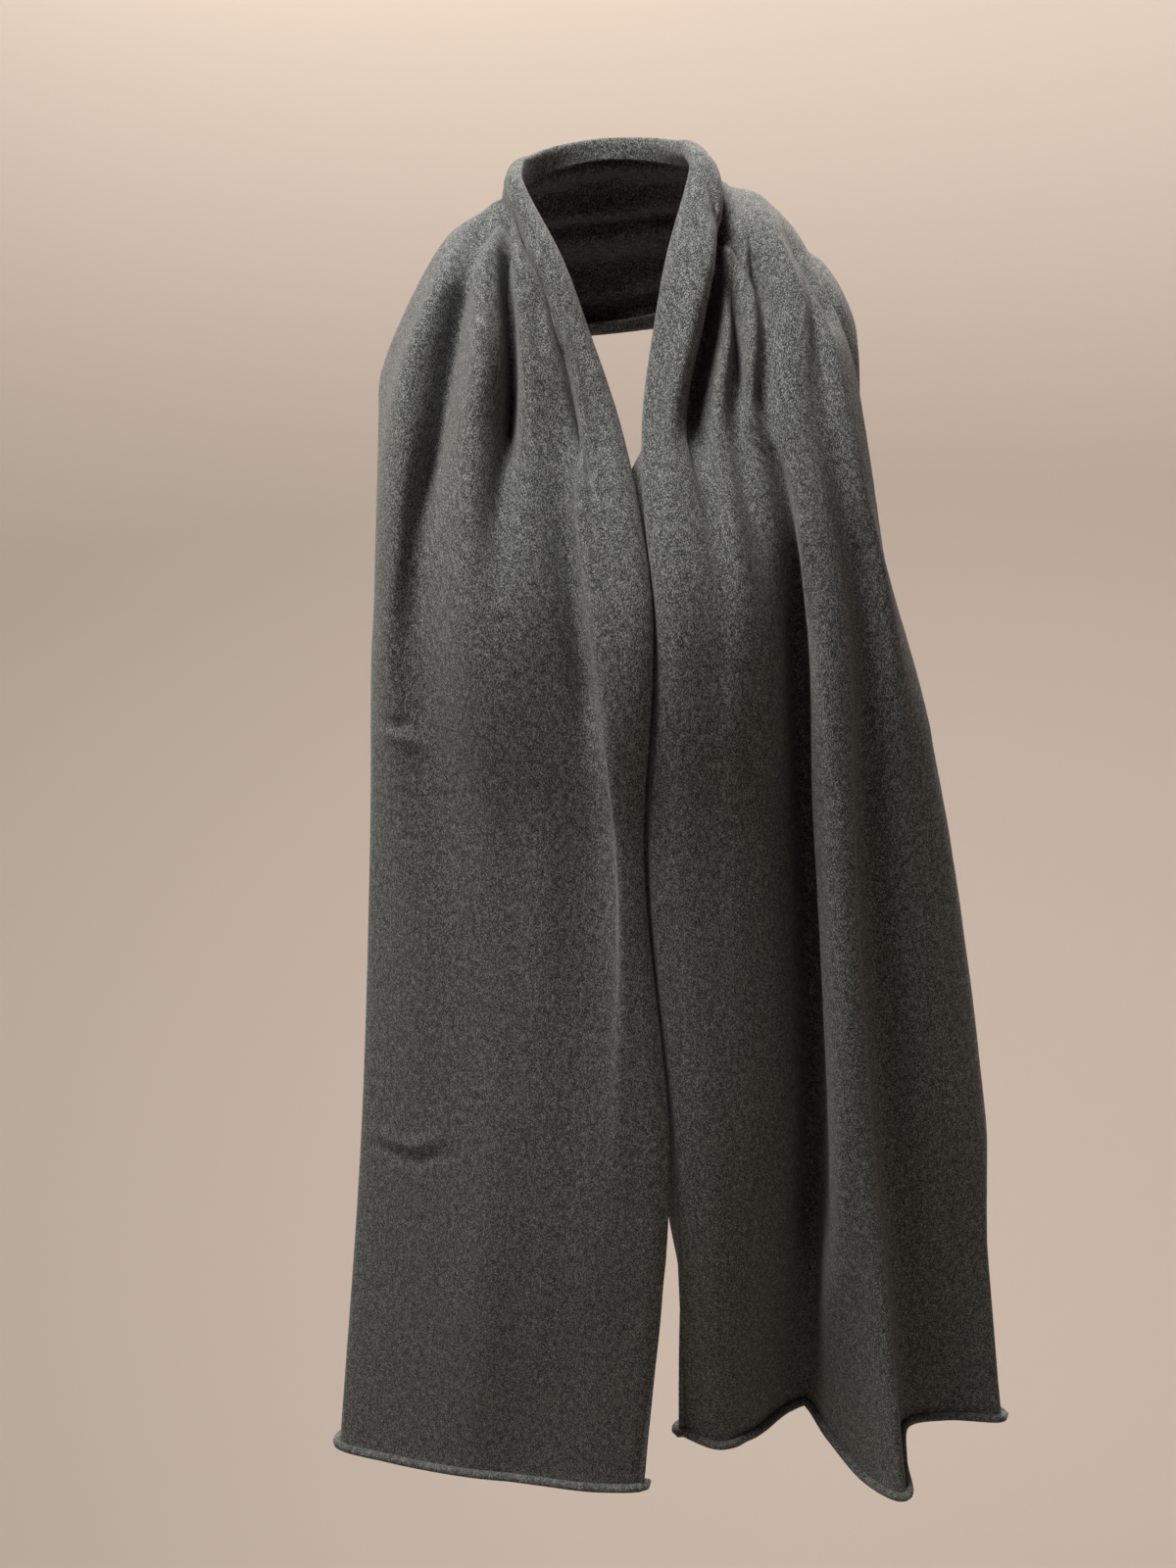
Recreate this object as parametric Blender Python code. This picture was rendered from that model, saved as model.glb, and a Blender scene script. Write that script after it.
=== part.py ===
"""A plain grey jersey scarf as it is worn: round the back of the neck, with both ends hanging in front.

The origin lies on the axis of the neck, level with the edge of the scarf beside the neck. -Y is the
front and -X the left of the picture. The scarf is held up there, so every height below is negative.
Each piece of the scarf is a wall of cloth with its own fold lines, and the body that it lies on
is left open.
"""

import bmesh
import bpy
import numpy as np

MM = 0.001

# Driving dimensions, in millimetres.
WALL = 2.0
SEAM_GAP = 0.3
SEAM_Y = 6.0
HEM_Z = -882.0
ROLL_RADIUS = 3.2
NAPE_TOP = (54.0, 5.0)
NAPE_FOOT = (112.0, -122.0)
NAPE_DEPTH = 0.95
CREST_ROUNDING = 90.0

# The rounded form that the cloth hangs on: how far it comes forward at each height, in the middle
# and at the outer edge of the cloth, and how far out that edge is.
FORM = (
    # height, middle, outer, reach
    (30, 40, 40, 130),
    (0, 44, 40, 130),
    (-35, 50, 50, 135),
    (-62, 55, 53, 137),
    (-95, 63, 58, 140),
    (-150, 81, 64, 150),
    (-195, 104, 68, 156),
    (-255, 124, 70, 163),
    (-400, 123, 62, 182),
    (-620, 119, 50, 210),
    (-882, 109, 40, 250),
    (-1000, 106, 40, 260),
)

# The line where the cloth goes over each shoulder: its height at each distance out from the middle.
SHOULDER = (
    # out, left height, right height
    (0, 2, 4),
    (51, -2, 2),
    (65, -23, -18),
    (92, -45, -40),
    (104, -58, -55),
    (117, -73, -70),
    (133, -96, -78),
    (141, -110, -91),
    (148, -125, -112),
    (156, -150, -148),
)

# Where the stations of a fall lie. The first ones keep below the shoulder line by their drop.
STATIONS = (
    # name, height, least drop below the shoulder line, distance along the cloth
    ("seam", 40, 0, 0),
    ("shoulder", 40, 14, 26),
    ("yoke", -54, 26, 50),
    ("collar", -95, 40, 76),
    ("chest", -150, 75, 132),
    ("breast", -195, 105, 180),
    ("bust", -255, 130, 242),
    ("waist", -400, 130, 388),
    ("hip", -620, 130, 608),
    ("hem", HEM_Z, 130, 872),
)

# The fold lines of each fall, from its inner edge outwards. At each station a line has its distance
# out from the middle and its lift above the form.
LEFT_LINES = (
    # line           seam        shoulder    yoke        collar      chest       breast      bust        waist       hip         hem
    ("inner tuck",   (60, -6),   (59, -6),   (44, -6),   (36, -5),   (20, -6),   (13, -6),   (12, -6),   (26, -6),   (21, -6),   (50, -8)),
    ("inner edge",   (51, 0),    (49, 1),    (31, 2),    (18, 3),    (3, 3),     (-4, 3),    (-6, 3),    (6, 3),     (1, 3),     (29, -1)),
    ("inner crest",  (54, 4),    (52, 6),    (36, 8),    (23, 9),    (10, 10),   (4, 10),    (2, 10),    (12, 9),    (9, 8),     (38, 5)),
    ("neck crease",  (58, 4),    (56, 6),    (42, 6),    (28, 7),    (18, 8),    (18, 10),   (16, 12),   (17, 11),   (22, 9),    (56, 6)),
    ("flap edge",    (61, 3),    (60, 4),    (48, 7),    (33, 10),   (26, 12),   (32, 14),   (30, 14),   (22, 12),   (36, 9),    (72, 6)),
    ("flap under",   (62, 2),    (61, 3),    (49, 5),    (34, 6),    (28, 5),    (32, 3),    (29, -1),   (23, 2),    (44, 7),    (86, 5)),
    ("flap floor",   (64, 1),    (63, 2),    (52, 4),    (39, 4),    (35, 3),    (42, -5),   (40, -11),  (33, -5),   (56, 6),    (98, 4)),
    ("pocket rim",   (65, 0),    (64, 1),    (58, 8),    (56, 11),   (57, 9),    (60, 2),    (58, -4),   (52, 0),    (76, 8),    (116, 3)),
    ("pocket under", (66, -1),   (65, 0),    (61, 3),    (60, 2),    (63, 4),    (73, 5),    (73, 3),    (63, 5),    (85, 8),    (125, 3)),
    ("pocket floor", (68, -1),   (67, -2),   (64, -6),   (64, -16),  (70, -6),   (81, 6),    (84, 8),    (74, 8),    (94, 8),    (134, 4)),
    ("ridge wall",   (70, 0),    (69, 1),    (68, 3),    (69, 4),    (78, 8),    (88, 12),   (94, 12),   (86, 9),    (104, 8),   (143, 5)),
    ("second ridge", (72, 1),    (72, 5),    (75, 13),   (79, 18),   (92, 19),   (98, 17),   (106, 13),  (98, 10),   (114, 8),   (152, 6)),
    ("soft valley",  (78, 1),    (81, -1),   (90, -4),   (99, -6),   (112, -6),  (125, -5),  (135, -3),  (130, 3),   (140, 5),   (174, 5)),
    ("first ridge",  (96, 7),    (100, 10),  (112, 14),  (122, 16),  (134, 15),  (142, 13),  (150, 10),  (157, 5),   (176, 4),   (210, 3)),
    ("outer edge",   (148, -1),  (150, -1),  (152, -2),  (154, -3),  (158, -5),  (161, -6),  (165, -7),  (178, -7),  (206, -4),  (249, -1)),
    ("outer turn",   (145, -9),  (147, -10), (149, -11), (151, -12), (155, -14), (158, -16), (162, -17), (175, -17), (203, -14), (246, -11)),
    ("outer tuck",   (128, -9),  (127, -10), (125, -11), (122, -13), (123, -16), (124, -19), (124, -20), (134, -20), (160, -17), (200, -16)),
)

RIGHT_LINES = (
    # line           seam        shoulder    yoke        collar      chest       breast      bust        waist       hip         hem
    ("inner tuck",   (60, -6),   (60, -6),   (50, -6),   (38, -6),   (20, -11),  (-6, -17),  (-4, -17),  (-18, -16), (-8, -16),  (14, -38)),
    ("inner turn",   (53, -5),   (52, -5),   (37, -5),   (25, -4),   (13, -5),   (8, -8),    (10, -9),   (-3, -9),   (2, -8),    (-3, -36)),
    ("inner edge",   (51, 0),    (50, 1),    (33, 2),    (22, 3),    (11, 3),    (9, 3),     (12, 2),    (-1, 2),    (4, 0),     (-6, -28)),
    ("inner crest",  (54, 4),    (53, 6),    (42, 8),    (31, 9),    (19, 9),    (18, 8),    (21, 7),    (9, 6),     (14, 6),    (7, -19)),
    ("cowl crest",   (58, 6),    (60, 10),   (55, 13),   (44, 17),   (28, 15),   (28, 10),   (31, 8),    (20, 8),    (27, 9),    (22, -13)),
    ("cowl edge",    (62, 4),    (64, 6),    (64, 7),    (54, 12),   (36, 11),   (39, 7),    (42, 7),    (34, 7),    (39, 7),    (33, -15)),
    ("cowl under",   (63, 2),    (65, 3),    (65, 3),    (51, -1),   (35, -1),   (44, 3),    (48, 6),    (41, 6),    (45, 5),    (40, -21)),
    ("wedge",        (65, 0),    (66, 1),    (67, 0),    (58, -11),  (44, -8),   (50, 3),    (55, 7),    (49, 5),    (52, 2),    (47, -26)),
    ("third ridge",  (68, 1),    (69, 2),    (70, 2),    (65, 7),    (56, 10),   (59, 11),   (64, 8),    (59, 2),    (62, -4),   (56, -35)),
    ("inner slit",   (71, 0),    (72, 1),    (73, 0),    (71, -1),   (66, 0),    (69, 2),    (76, 2),    (71, -4),   (76, -13),  (66, -47)),
    ("fourth ridge", (74, 1),    (75, 3),    (77, 5),    (79, 9),    (74, 10),   (81, 4),    (88, -5),   (88, -20),  (92, -31),  (76, -56)),
    ("pleat floor",  (77, 1),    (79, 3),    (82, 2),    (87, 0),    (84, 2),    (95, -8),   (103, -17), (104, -26), (106, -34), (90, -60)),
    ("pleat edge",   (81, 3),    (84, 5),    (89, 9),    (95, 11),   (92, 11),   (99, 12),   (102, 13),  (101, 14),  (102, 12),  (104, -30)),
    ("pleat face",   (85, 6),    (88, 9),    (94, 12),   (101, 15),  (101, 15),  (106, 15),  (112, 16),  (113, 19),  (117, 20),  (126, 4)),
    ("pleat tip",    (90, 8),    (93, 11),   (98, 14),   (105, 16),  (107, 15),  (114, 15),  (123, 15),  (125, 20),  (132, 25),  (149, 33)),
    ("pleat back",   (94, 8),    (99, 11),   (104, 12),  (109, 13),  (114, 11),  (121, 9),   (129, 5),   (129, 3),   (136, 0),   (152, 2)),
    ("outer floor",  (99, 9),    (105, 11),  (109, 11),  (114, 11),  (121, 9),   (128, 6),   (138, 0),   (139, -6),  (147, -12), (159, -27)),
    ("long ridge",   (106, 9),   (113, 11),  (117, 14),  (121, 16),  (129, 16),  (138, 14),  (151, 11),  (162, 6),   (180, 0),   (190, -26)),
    ("over edge",    (113, 6),   (123, 7),   (130, 6),   (137, 5),   (147, 1),   (154, -3),  (162, -5),  (182, -5),  (209, -5),  (231, -6)),
    ("over under",   (115, 3),   (124, 3),   (131, 0),   (138, -3),  (148, -7),  (155, -11), (162, -12), (182, -12), (209, -12), (231, -12)),
    ("low layer",    (128, 3),   (133, 3),   (138, -2),  (143, -6),  (148, -11), (151, -15), (157, -16), (178, -16), (205, -16), (228, -18)),
    ("outer edge",   (147, -1),  (148, -2),  (149, -5),  (149, -9),  (147, -15), (145, -18), (149, -19), (171, -19), (198, -19), (220, -25)),
    ("outer turn",   (145, -10), (146, -11), (146, -14), (144, -17), (141, -20), (139, -22), (142, -23), (163, -23), (190, -23), (211, -33)),
    ("outer tuck",   (127, -11), (128, -12), (128, -15), (127, -18), (124, -21), (123, -24), (126, -25), (146, -25), (172, -26), (192, -42)),
)

# The fold lines behind the neck, from the top edge to the foot: how far down each one is from
# NAPE_TOP towards NAPE_FOOT, and its lift off that line.
NAPE_LINES = (
    # line, down, lift
    ("top tuck", 11, -7),
    ("top edge", 0, 0),
    ("first fold", 11, 6),
    ("first valley", 20, 0),
    ("second fold", 36, 10),
    ("second valley", 53, 1),
    ("third fold", 63, 6),
    ("third valley", 71, 0),
    ("fourth fold", 93, 11),
    ("fourth valley", 112, 1),
    ("fifth fold", 126, 5),
    ("foot edge", 140, -2),
    ("foot turn", 139, -6),
    ("foot tuck", 129, -8),
)

# How much lower each end hangs at its pleats than the straight hem line.
HEM_DROP = {
    "left": (("inner edge", 8), ("inner crest", 6), ("second ridge", 0), ("outer edge", 2)),
    "right": (
        ("inner edge", -20),
        ("cowl crest", -12),
        ("pleat floor", -2),
        ("pleat edge", 10),
        ("pleat face", 27),
        ("pleat tip", 26),
        ("outer floor", 12),
        ("over edge", 17),
    ),
}

ROWS_BETWEEN_STATIONS = (2, 2, 2, 3, 3, 3, 4, 4, 4)
COLUMN_LENGTH = 8.0
NAPE_ROWS = 20
NAPE_COLUMNS = (3, 32, 6)
ROLL_SIDES = 6

CLOTH = {"colour": (0.085, 0.088, 0.086, 1.0), "roughness": 0.92, "metallic": 0.0}
ROLL = {"colour": (0.075, 0.077, 0.075, 1.0), "roughness": 0.94, "metallic": 0.0}


def clear_scene():
    for thing in list(bpy.data.objects):
        bpy.data.objects.remove(thing, do_unlink=True)


def column(table, index):
    return np.array([row[index] for row in table], dtype=float)


def shoulder_height(out, side):
    """Height of the shoulder line, and its outward normal, at a distance out."""
    index = 1 if side == "left" else 2
    outs = column(SHOULDER, 0)
    heights = column(SHOULDER, index)
    reach = np.abs(out)
    height = np.interp(reach, outs, heights)
    slope = (np.interp(reach + 9, outs, heights) - np.interp(reach - 9, outs, heights)) / 18
    length = np.hypot(slope, 1)
    return height, -slope / length, 1 / length


def on_form(out, height, lift, side):
    """The point at this distance out and height, raised off the form by the lift."""
    heights = column(FORM, 0)[::-1]
    middle, outer, reach = (np.interp(height, heights, column(FORM, k)[::-1]) for k in (1, 2, 3))
    forward = middle + (outer - middle) * (np.abs(out) / reach) ** 1.9
    crest, crest_out, crest_up = shoulder_height(out, side)
    level = 1 - np.clip((crest - height) / CREST_ROUNDING, 0, 1)
    facing = np.sqrt(1 - level**2)
    x = out + lift * crest_out * level
    y = SEAM_Y - (forward + SEAM_Y) * facing - lift * facing
    z = height + lift * crest_up * level
    return np.stack([-x if side == "left" else x, y, z], axis=-1)


def through(knots, values, at):
    """A smooth curve through the values at the knots, read at each place asked for."""
    knots = np.asarray(knots, float)
    values = np.asarray(values, float)
    slopes = np.empty_like(values)
    steps = np.diff(knots)[:, None]
    chords = np.diff(values, axis=0) / steps
    slopes[1:-1] = (chords[:-1] * steps[1:] + chords[1:] * steps[:-1]) / (steps[1:] + steps[:-1])
    slopes[0] = chords[0]
    slopes[-1] = chords[-1]
    span = np.clip(np.searchsorted(knots, at, side="right") - 1, 0, len(knots) - 2)
    step = steps[span]
    f = ((at - knots[span]) / step[:, 0])[:, None]
    start = values[span] * (1 + 2 * f) * (1 - f) ** 2 + slopes[span] * step * f * (1 - f) ** 2
    end = values[span + 1] * f * f * (3 - 2 * f) + slopes[span + 1] * step * f * f * (f - 1)
    return start + end


def hem_drop(lines, side):
    names = [line[0] for line in lines]
    known = [names.index(name) for name, _ in HEM_DROP[side]]
    drops = [drop for _, drop in HEM_DROP[side]]
    return np.interp(np.arange(len(names)), known, drops)


def station_points(lines, side):
    """Points of every fold line at every station: stations x lines x 3."""
    drops = hem_drop(lines, side)
    rows = []
    for index, (name, height, least_drop, _) in enumerate(STATIONS):
        out = np.array([line[index + 1][0] for line in lines], dtype=float)
        lift = np.array([line[index + 1][1] for line in lines], dtype=float)
        crest = shoulder_height(out, side)[0]
        level = np.minimum(height, crest - least_drop)
        if name == "hem":
            level = level - drops
        rows.append(on_form(out, level, lift, side))
    return np.array(rows)


def spread(points, per_span):
    """A smooth section through the points, with its own number of columns on each span."""
    gaps = np.sqrt(np.linalg.norm(np.diff(points, axis=0), axis=1))
    knots = np.concatenate([[0], np.cumsum(gaps)])
    places = [knots[0]]
    for start, end, count in zip(knots[:-1], knots[1:], per_span):
        places.extend(start + (end - start) * (np.arange(count) + 1) / count)
    return through(knots, points, np.array(places))


def fall_grid(lines, side):
    """The middle of the wall of one fall: rows from the shoulder to the hem, columns outwards."""
    stations = station_points(lines, side)
    along = column(STATIONS, 3)
    places = [along[0]]
    for start, end, count in zip(along[:-1], along[1:], ROWS_BETWEEN_STATIONS):
        places.extend(start + (end - start) * (np.arange(count) + 1) / count)
    count_lines = len(lines)
    guides = through(along, stations.reshape(len(along), -1), np.array(places))
    guides = guides.reshape(-1, count_lines, 3)
    lengths = np.linalg.norm(np.diff(stations[2:], axis=1), axis=2).mean(axis=0)
    per_span = np.clip(np.round(lengths / COLUMN_LENGTH), 2, 4).astype(int)
    grid = np.array([spread(row, per_span) for row in guides])
    grid[0, :, 1] = SEAM_Y
    starts = np.concatenate([[0], np.cumsum(per_span)])
    return grid, dict(zip([line[0] for line in lines], starts.tolist()))


def even_columns(section, edges):
    """The section with evenly spaced columns: a tuck, the face between its two edges, and a tuck."""
    pieces = []
    for start, end, count in zip(edges[:-1], edges[1:], NAPE_COLUMNS):
        part = section[start : end + 1]
        along = np.concatenate([[0], np.cumsum(np.linalg.norm(np.diff(part, axis=0), axis=1))])
        at = np.linspace(0, along[-1], count + 1)[: count + (end == edges[-1])]
        pieces.append(np.stack([np.interp(at, along, part[:, k]) for k in (0, 1)], axis=1))
    return np.concatenate(pieces)


def nape_section():
    """The gathered folds behind the neck, as distance from its axis and height."""
    top = np.array(NAPE_TOP)
    foot = np.array(NAPE_FOOT)
    slope = (foot - top) / np.linalg.norm(foot - top)
    normal = np.array([-slope[1], slope[0]])
    guides = top + np.outer(column(NAPE_LINES, 1), slope) + np.outer(column(NAPE_LINES, 2), normal)
    section = spread(guides, [4] * (len(guides) - 1))
    return even_columns(section, [0, 4, 4 * (len(guides) - 3), len(section) - 1])


def nape_grid(left, left_columns, right, right_columns):
    """The stretch round the back of the neck: rows from the left shoulder to the right one."""
    sides = []
    for fall, columns, outwards in ((left, left_columns, -1), (right, right_columns, 1)):
        section = np.stack([outwards * fall[0, :, 0], fall[0, :, 2]], axis=1)
        edges = [0, columns["inner edge"], columns["outer edge"], len(section) - 1]
        sides.append(even_columns(section, edges))
    middle = nape_section()
    rows = []
    for share in np.linspace(0, 1, NAPE_ROWS):
        turn = np.pi * (1 - share)
        blend = 1 - abs(2 * share - 1)
        blend = blend * blend * (3 - 2 * blend)
        section = sides[int(share > 0.5)] * (1 - blend) + middle * blend
        x = section[:, 0] * np.cos(turn)
        y = SEAM_Y + SEAM_GAP + section[:, 0] * np.sin(turn) * NAPE_DEPTH
        rows.append(np.stack([x, y, section[:, 1]], axis=1))
    return np.array(rows)


def normals_of(grid):
    """Unit normals of a grid of points, from its rows and columns."""
    along = np.gradient(grid, axis=0)
    across = np.gradient(grid, axis=1)
    normal = np.cross(along, across)
    return normal / np.linalg.norm(normal, axis=2, keepdims=True)


def wall_mesh(name, grid, material, flat_rows=()):
    """A closed wall with its middle on the grid. A flat row keeps its end face square to Y."""
    normal = normals_of(grid)
    for row in flat_rows:
        normal[row, :, 1] = 0
        normal[row] /= np.linalg.norm(normal[row], axis=1, keepdims=True)
    rows, columns = grid.shape[:2]
    front = (grid + normal * WALL / 2).reshape(-1, 3)
    back = (grid - normal * WALL / 2).reshape(-1, 3)
    index = np.arange(rows * columns).reshape(rows, columns)
    quads = np.stack([index[:-1, :-1], index[1:, :-1], index[1:, 1:], index[:-1, 1:]], axis=2).reshape(-1, 4)
    faces = quads.tolist() + (quads[:, ::-1] + rows * columns).tolist()
    rim = np.concatenate([index[:, 0], index[-1, 1:], index[-2::-1, -1], index[0, -2:0:-1]])
    following = np.roll(rim, -1)
    faces += np.stack([rim, rim + rows * columns, following + rows * columns, following], axis=1).tolist()
    return mesh_object(name, np.concatenate([front, back]), faces, material)


def roll_mesh(name, centres, material):
    """A closed tube of rolled cloth with its middle on the centres."""
    along = np.gradient(centres, axis=0)
    along /= np.linalg.norm(along, axis=1, keepdims=True)
    up = np.array([0.0, 0.0, 1.0]) - along * along[:, 2:3]
    up /= np.linalg.norm(up, axis=1, keepdims=True)
    aside = np.cross(along, up)
    turn = 2 * np.pi * (np.arange(ROLL_SIDES) + 0.5) / ROLL_SIDES
    ring = up[:, None] * np.cos(turn)[None, :, None] + aside[:, None] * np.sin(turn)[None, :, None]
    points = (centres[:, None] + ROLL_RADIUS * ring).reshape(-1, 3)
    count = len(centres)
    index = np.arange(count * ROLL_SIDES).reshape(count, ROLL_SIDES)
    beside = np.roll(index, -1, axis=1)
    faces = np.stack([index[:-1], beside[:-1], beside[1:], index[1:]], axis=2).reshape(-1, 4).tolist()
    faces += [index[0, ::-1].tolist(), index[-1].tolist()]
    return mesh_object(name, points, faces, material)


def mesh_object(name, points, faces, material):
    mesh = bpy.data.meshes.new(name)
    mesh.from_pydata((np.asarray(points) * MM).tolist(), [], faces)
    work = bmesh.new()
    work.from_mesh(mesh)
    bmesh.ops.triangulate(work, faces=work.faces[:])
    bmesh.ops.recalc_face_normals(work, faces=work.faces)
    if work.calc_volume(signed=True) < 0:
        bmesh.ops.reverse_faces(work, faces=work.faces)
    work.to_mesh(mesh)
    work.free()
    for polygon in mesh.polygons:
        polygon.use_smooth = True
    mesh.materials.append(material)
    thing = bpy.data.objects.new(name, mesh)
    bpy.context.scene.collection.objects.link(thing)
    return thing


def make_material(name, look):
    material = bpy.data.materials.new(name)
    material.use_nodes = True
    shader = material.node_tree.nodes["Principled BSDF"]
    shader.inputs["Base Color"].default_value = look["colour"]
    shader.inputs["Roughness"].default_value = look["roughness"]
    shader.inputs["Metallic"].default_value = look["metallic"]
    return material


def hem_centres(grid):
    """The middle of the rolled hem, just under the lower edge of a fall, also where that edge slopes."""
    edge = grid[-1]
    along = np.gradient(edge, axis=0)
    level_share = np.hypot(along[:, 0], along[:, 1]) / np.linalg.norm(along, axis=1)
    drop = ROLL_RADIUS * np.cos(np.pi / ROLL_SIDES) / level_share + SEAM_GAP
    return edge - np.outer(drop, (0.0, 0.0, 1.0))


def build():
    clear_scene()
    cloth = {name: make_material(name + "_jersey", CLOTH) for name in ("left_fall", "right_fall", "nape_band")}
    roll = {name: make_material(name + "_jersey", ROLL) for name in ("left_hem_roll", "right_hem_roll")}
    left, left_columns = fall_grid(LEFT_LINES, "left")
    right, right_columns = fall_grid(RIGHT_LINES, "right")
    wall_mesh("left_fall", left, cloth["left_fall"], flat_rows=(0,))
    wall_mesh("right_fall", right, cloth["right_fall"], flat_rows=(0,))
    band = nape_grid(left, left_columns, right, right_columns)
    wall_mesh("nape_band", band, cloth["nape_band"], flat_rows=(0, -1))
    roll_mesh("left_hem_roll", hem_centres(left), roll["left_hem_roll"])
    roll_mesh("right_hem_roll", hem_centres(right), roll["right_hem_roll"])


build()
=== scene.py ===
# %% [markdown]
# # A worn jersey scarf
#
# One long piece of fine grey jersey lies round the back of a neck, and both of its ends hang down in
# front. In this lesson the cloth is built from its fold lines: each line says how far out it lies and
# how far it stands forward at a few heights, and smooth curves fill in the rest. That suits a draped
# cloth whose folds are known one by one, where a simulation would find folds of its own.

import math

import bpy
import numpy as np
from mathutils import Matrix, Vector


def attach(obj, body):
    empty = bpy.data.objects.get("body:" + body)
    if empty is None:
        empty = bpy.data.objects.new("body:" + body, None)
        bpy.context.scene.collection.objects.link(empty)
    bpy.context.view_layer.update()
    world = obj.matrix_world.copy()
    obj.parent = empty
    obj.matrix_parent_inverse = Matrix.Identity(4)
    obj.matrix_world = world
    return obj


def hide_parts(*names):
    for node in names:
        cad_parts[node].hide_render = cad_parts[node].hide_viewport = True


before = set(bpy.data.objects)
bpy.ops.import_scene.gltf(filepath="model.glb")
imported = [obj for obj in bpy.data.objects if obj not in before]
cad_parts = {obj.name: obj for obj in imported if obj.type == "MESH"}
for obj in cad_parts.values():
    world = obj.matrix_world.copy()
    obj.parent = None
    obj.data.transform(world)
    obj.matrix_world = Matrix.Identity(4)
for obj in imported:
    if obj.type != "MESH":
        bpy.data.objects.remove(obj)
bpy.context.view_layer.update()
MM = 0.001
print("nodes in the frame:", ", ".join(sorted(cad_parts)))

# %% [markdown]
# ## The camera
#
# The camera stands a little under a metre and a half in front of the neck, slightly above it, and
# looks down by 20 degrees, so the shoulders show from above and the hems from the front. It is also
# turned by 4 degrees in its own plane. It is built straight from those numbers, because the columns
# of its matrix are simply its right, up and backward directions.

# %% Camera
PICTURE_HEIGHT_PX = 1600
FOCAL_PX = 2333
SENSOR_MM = 36
CAMERA_PLACE = (-0.037, -1.438, 0.118)
CAMERA_TILT = math.radians(20)
CAMERA_ROLL = math.radians(4)


def make_camera():
    """The camera at its place, tilted down and then rolled."""
    data = bpy.data.cameras.new("camera")
    data.sensor_width = SENSOR_MM
    data.lens = FOCAL_PX * data.sensor_width / PICTURE_HEIGHT_PX
    right = Vector((1, 0, 0))
    ahead = Vector((0, math.cos(CAMERA_TILT), -math.sin(CAMERA_TILT)))
    up = right.cross(ahead)
    rolled_right = right * math.cos(CAMERA_ROLL) - up * math.sin(CAMERA_ROLL)
    rolled_up = up * math.cos(CAMERA_ROLL) + right * math.sin(CAMERA_ROLL)
    camera = bpy.data.objects.new("camera", data)
    columns = Matrix((rolled_right, rolled_up, -ahead)).transposed()
    camera.matrix_world = Matrix.Translation(CAMERA_PLACE) @ columns.to_4x4()
    bpy.context.scene.collection.objects.link(camera)
    bpy.context.scene.camera = camera
    return camera


camera = make_camera()
print("camera lens:", round(camera.data.lens, 1), "mm")

# %% [markdown]
# ## The form under the folds
#
# Draped cloth follows what it lies on before it folds. Here that is a short table of heights: how far
# forward the cloth comes in the middle and at its outer edge, and how far out that edge lies. A
# second table gives the line where the cloth goes over each shoulder. Every fold is then a lift off
# this form, so the fold tables hold small numbers that can be read and changed by hand.

# %% Form of the front, and the line over the shoulders
# Depth of the seam over each shoulder, height over which the cloth bends over it, and the hems.
SEAM_Y = 6.0
CREST_ROUNDING = 90.0
HEM_Z = -882.0
# The form falls back to the sides by this power of the distance out. The slope of the shoulder line
# is read this far to both sides.
SIDE_POWER = 1.9
SLOPE_REACH = 9.0

FORM = (
    # height, middle, outer, reach
    (30, 40, 40, 130),
    (0, 44, 40, 130),
    (-35, 50, 50, 135),
    (-62, 55, 53, 137),
    (-95, 63, 58, 140),
    (-150, 81, 64, 150),
    (-195, 104, 68, 156),
    (-255, 124, 70, 163),
    (-400, 123, 62, 182),
    (-620, 119, 50, 210),
    (-882, 109, 40, 250),
    (-1000, 106, 40, 260),
)

SHOULDER = (
    # out, left height, right height
    (0, 2, 4),
    (51, -2, 2),
    (65, -23, -18),
    (92, -45, -40),
    (104, -58, -55),
    (117, -73, -70),
    (133, -96, -78),
    (141, -110, -91),
    (148, -125, -112),
    (156, -150, -148),
)


def column(table, index):
    """One column of a table, as numbers."""
    return np.array([row[index] for row in table], dtype=float)


def shoulder_height(out, side):
    """Height of the shoulder line at a distance out, and its outward normal."""
    outs = column(SHOULDER, 0)
    heights = column(SHOULDER, 1 if side == "left" else 2)
    reach = np.abs(out)
    beyond = np.interp(reach + SLOPE_REACH, outs, heights)
    before = np.interp(reach - SLOPE_REACH, outs, heights)
    slope = (beyond - before) / (2 * SLOPE_REACH)
    length = np.hypot(slope, 1)
    return np.interp(reach, outs, heights), -slope / length, 1 / length


def on_form(out, height, lift, side):
    """The point at this distance out and height, raised off the form by the lift."""
    heights = column(FORM, 0)[::-1]
    middle, outer, reach = (np.interp(height, heights, column(FORM, k)[::-1]) for k in (1, 2, 3))
    forward = middle + (outer - middle) * (np.abs(out) / reach) ** SIDE_POWER
    crest, crest_out, crest_up = shoulder_height(out, side)
    level = 1 - np.clip((crest - height) / CREST_ROUNDING, 0, 1)
    facing = np.sqrt(1 - level**2)
    x = out + lift * crest_out * level
    y = SEAM_Y - (forward + SEAM_Y) * facing - lift * facing
    z = height + lift * crest_up * level
    return np.stack([-x if side == "left" else x, y, z], axis=-1)


print("the front stands forward by", max(column(FORM, 1)), "mm at most")

# %% [markdown]
# ## The fold lines
#
# A maker would describe this drape fold by fold. On the left a soft first ridge runs over the
# shoulder, a second ridge stands beside a dark pocket, and a narrow flap along the inner edge lies
# over the broad panel. On the right the cloth rolls over itself beside the neck, leaves two slits
# under the shoulder, and drops into one deep pleat that ends in a point at the hem. Each row below
# is one such line, and each pair is its distance out and its lift at one station.

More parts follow.
